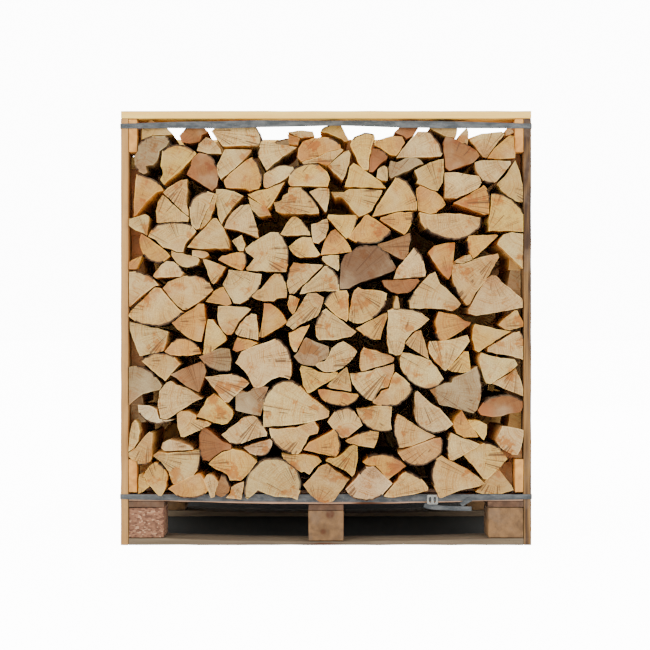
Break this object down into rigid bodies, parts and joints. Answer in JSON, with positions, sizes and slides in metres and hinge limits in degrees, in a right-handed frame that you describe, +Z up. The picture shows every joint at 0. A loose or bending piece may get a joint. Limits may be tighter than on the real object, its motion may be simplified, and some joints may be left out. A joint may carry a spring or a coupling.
{
  "type": "palletised firewood crate",
  "caption": "Split firewood logs stacked in rows on a wooden block pallet, held by upright side planks, flat top planks, low and high slats, and two flat plastic straps",
  "frame": {"origin": "middle of the footprint, on the ground plane", "axes": "+X to the right seen from the front, -Y towards the front where the stacked log ends show, +Z up"},
  "size_m": [1.0426, 1.224, 1.1],
  "materials": {
    "pallet_wood": "rough sawn softwood, weathered and reused, grey-brown",
    "chipboard": "coarse pressed chipboard, pinkish brown",
    "frame_wood": "fresh sawn spruce planks, pale yellow, matt",
    "slat_wood": "sawn softwood, end grain showing orange-brown at the front",
    "log_wood": "saw-cut ends pale beige to orange and red-brown, rough split faces, thin brown bark on the round sides",
    "strap": "woven polyester strapping, grey-blue, slightly glossy",
    "buckle_steel": "galvanised wire steel with a rusty spot"
  },
  "bodies": {
    "root": {"skid_front": "pallet_wood", "skid_middle": "pallet_wood", "skid_back": "pallet_wood", "block_front_left": "chipboard", "block_front_centre": "pallet_wood", "block_front_right": "pallet_wood", "block_middle_left": "pallet_wood", "block_middle_centre": "pallet_wood", "block_middle_right": "pallet_wood", "block_back_left": "pallet_wood", "block_back_centre": "pallet_wood", "block_back_right": "pallet_wood", "stringer_left": "pallet_wood", "stringer_centre": "pallet_wood", "stringer_right": "pallet_wood", "deck_board_1": "pallet_wood", "deck_board_2": "pallet_wood", "deck_board_3": "pallet_wood", "deck_board_4": "pallet_wood", "deck_board_5": "pallet_wood", "deck_board_6": "pallet_wood", "deck_board_7": "pallet_wood", "post_front_left": "frame_wood", "post_front_right": "frame_wood", "post_middle_left": "frame_wood", "post_middle_right": "frame_wood", "post_back_left": "frame_wood", "post_back_right": "frame_wood", "top_plank_front": "frame_wood", "top_plank_middle": "frame_wood", "top_plank_back": "frame_wood", "slat_bottom_left": "slat_wood", "slat_bottom_right": "slat_wood", "slat_top_left": "slat_wood", "slat_top_right": "slat_wood", "strap_top": "strap", "strap_bottom": "strap", "tail_long": "strap", "tail_short": "strap", "buckle": "buckle_steel", "log_row_front": "log_wood", "log_row_middle_1": "log_wood", "log_row_middle_2": "log_wood", "log_row_back": "log_wood", "top_log_1": "log_wood", "top_log_2": "log_wood", "top_log_3": "log_wood", "top_log_4": "log_wood", "top_log_5": "log_wood", "top_log_6": "log_wood", "top_log_7": "log_wood", "top_log_8": "log_wood", "top_log_9": "log_wood", "top_log_10": "log_wood", "top_log_11": "log_wood", "top_log_12": "log_wood", "top_log_13": "log_wood", "top_log_14": "log_wood", "top_log_15": "log_wood", "top_log_16": "log_wood"}
  },
  "joints": []
}
